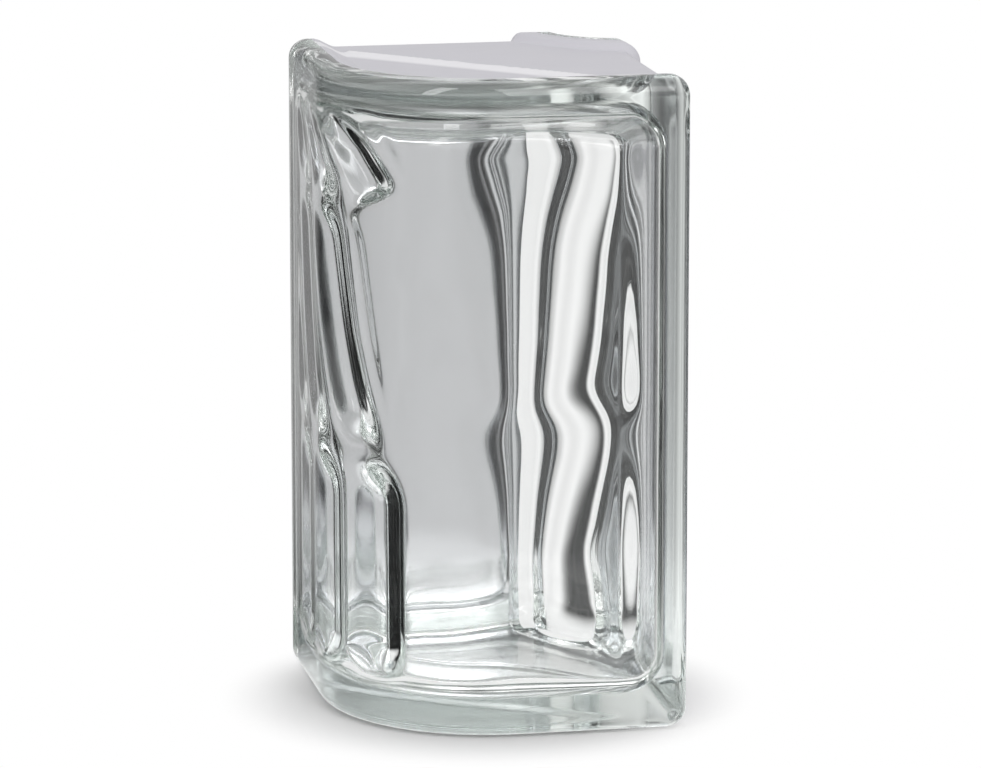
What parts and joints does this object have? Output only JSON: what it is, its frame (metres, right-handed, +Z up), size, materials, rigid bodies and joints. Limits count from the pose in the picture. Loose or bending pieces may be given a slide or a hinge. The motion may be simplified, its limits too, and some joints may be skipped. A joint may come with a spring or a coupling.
{
  "type": "corner glass block",
  "caption": "Hollow sealed corner block of clear pressed glass with a rounded outer face, waves pressed into it from inside and a mortar channel around its edges, for turning a glass block wall.",
  "frame": {"origin": "bottom centre of the outline box, on the plane the block stands on", "axes": "+Z up the height of the block, one wing along +X and the other along +Y from the rounded outer corner, which faces -X and -Y"},
  "size_m": [0.1, 0.1, 0.19],
  "materials": {
    "glass": "clear pressed glass, gloss, with a coat on the mortar channel that is silvered towards the glass and white outside"
  },
  "bodies": {
    "root": {"glass_block": "glass"}
  },
  "joints": []
}
